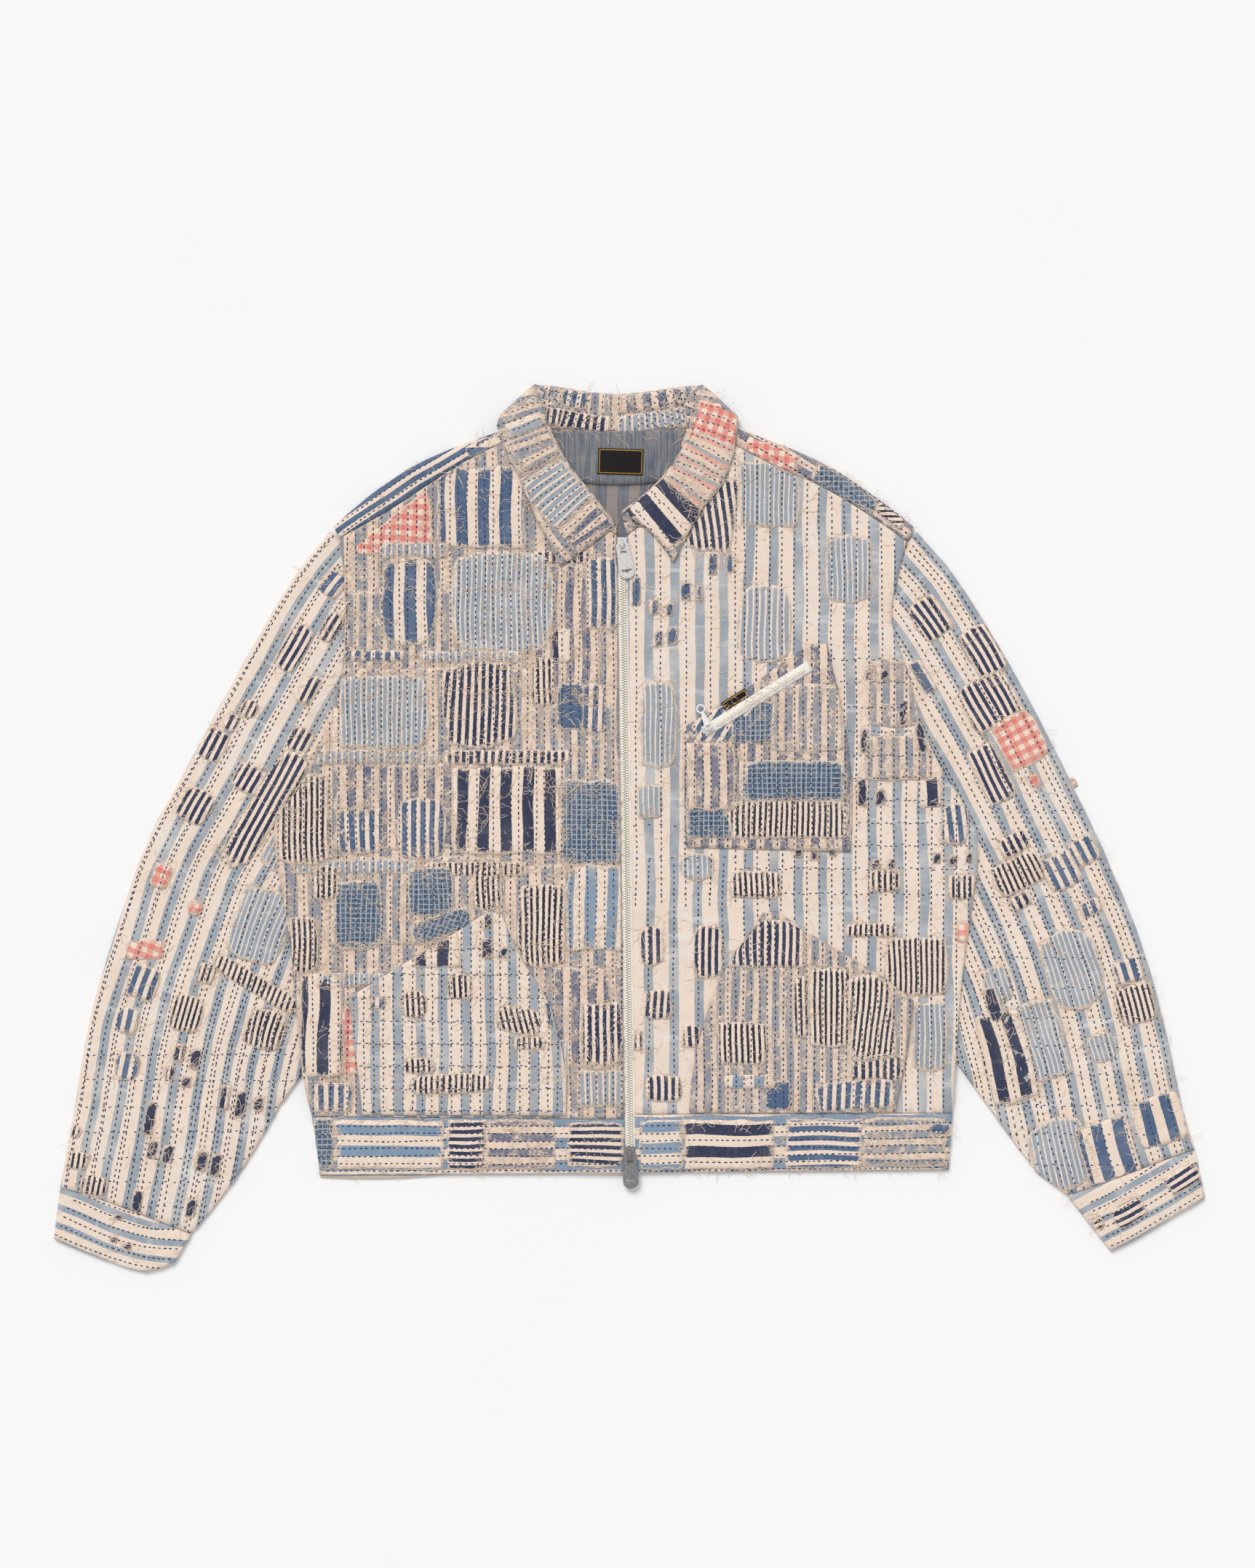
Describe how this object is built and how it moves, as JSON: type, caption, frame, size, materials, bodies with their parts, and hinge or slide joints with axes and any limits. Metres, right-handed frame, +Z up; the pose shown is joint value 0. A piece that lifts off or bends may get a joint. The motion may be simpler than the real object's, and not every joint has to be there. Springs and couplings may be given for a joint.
{
  "type": "patched boro jacket",
  "caption": "Short patched cotton jacket laid flat and face up, with folded collar, patch pockets, hem band and a two-way front zip.",
  "frame": {"origin": "middle of the bounding box in X and Y, on the surface that the jacket lies on", "axes": "+X to the wearer's left, +Y from the hem to the collar, +Z up from the surface"},
  "size_m": [1.02, 0.786, 0.013],
  "materials": {
    "patched_cloth": "matt, washed cotton patches in blue and cream stripes",
    "band_cloth": "matt, striped cotton",
    "pocket_cloth": "matt, striped cotton",
    "facing_cloth": "matt grey-blue cotton",
    "woven_label": "flat woven satin, bare",
    "zip_tape": "matt off-white tape",
    "light_metal": "satin, slightly worn",
    "dark_metal": "dark satin, worn"
  },
  "bodies": {
    "root": {"back_panel": "patched_cloth", "shoulder_yoke_right": "patched_cloth", "shoulder_yoke_left": "patched_cloth", "front_right": "patched_cloth", "front_left": "patched_cloth", "sleeve_right": "patched_cloth", "sleeve_left": "patched_cloth", "collar": "patched_cloth", "cuff_right": "band_cloth", "cuff_left": "band_cloth", "hem_band_right": "band_cloth", "hem_band_left": "band_cloth", "hem_band_back": "band_cloth", "hand_pocket_right": "pocket_cloth", "hand_pocket_left": "pocket_cloth", "chest_pocket": "pocket_cloth", "neck_facing": "facing_cloth", "neck_label": "woven_label", "pocket_label": "woven_label", "zip_tape_right": "zip_tape", "zip_tape_left": "zip_tape", "pocket_zip_tape": "zip_tape", "zip_chain": "light_metal", "zip_slider_top": "light_metal", "pocket_zip_chain": "light_metal", "pocket_zip_slider": "light_metal", "zip_slider_bottom": "dark_metal"},
    "top_pull": {"zip_pull_top": "light_metal"},
    "bottom_pull": {"zip_pull_bottom": "dark_metal"},
    "pocket_pull": {"pocket_zip_pull": "light_metal"}
  },
  "joints": [
    {"name": "top_pull_hinge", "type": "hinge", "parent": "root", "child": "top_pull", "pos_m": [-0.0064, 0.2495, 0.0079], "axis": [-0.9846, -0.1749, 0], "range_deg": [0, 160]},
    {"name": "bottom_pull_hinge", "type": "hinge", "parent": "root", "child": "bottom_pull", "pos_m": [0.0006, -0.2897, 0.0079], "axis": [-0.9996, -0.0283, 0], "range_deg": [0, 160]},
    {"name": "pocket_pull_hinge", "type": "hinge", "parent": "root", "child": "pocket_pull", "pos_m": [0.07046, 0.08612, 0.01145], "axis": [0.9229, 0.3851, 0], "range_deg": [0, 150]}
  ]
}
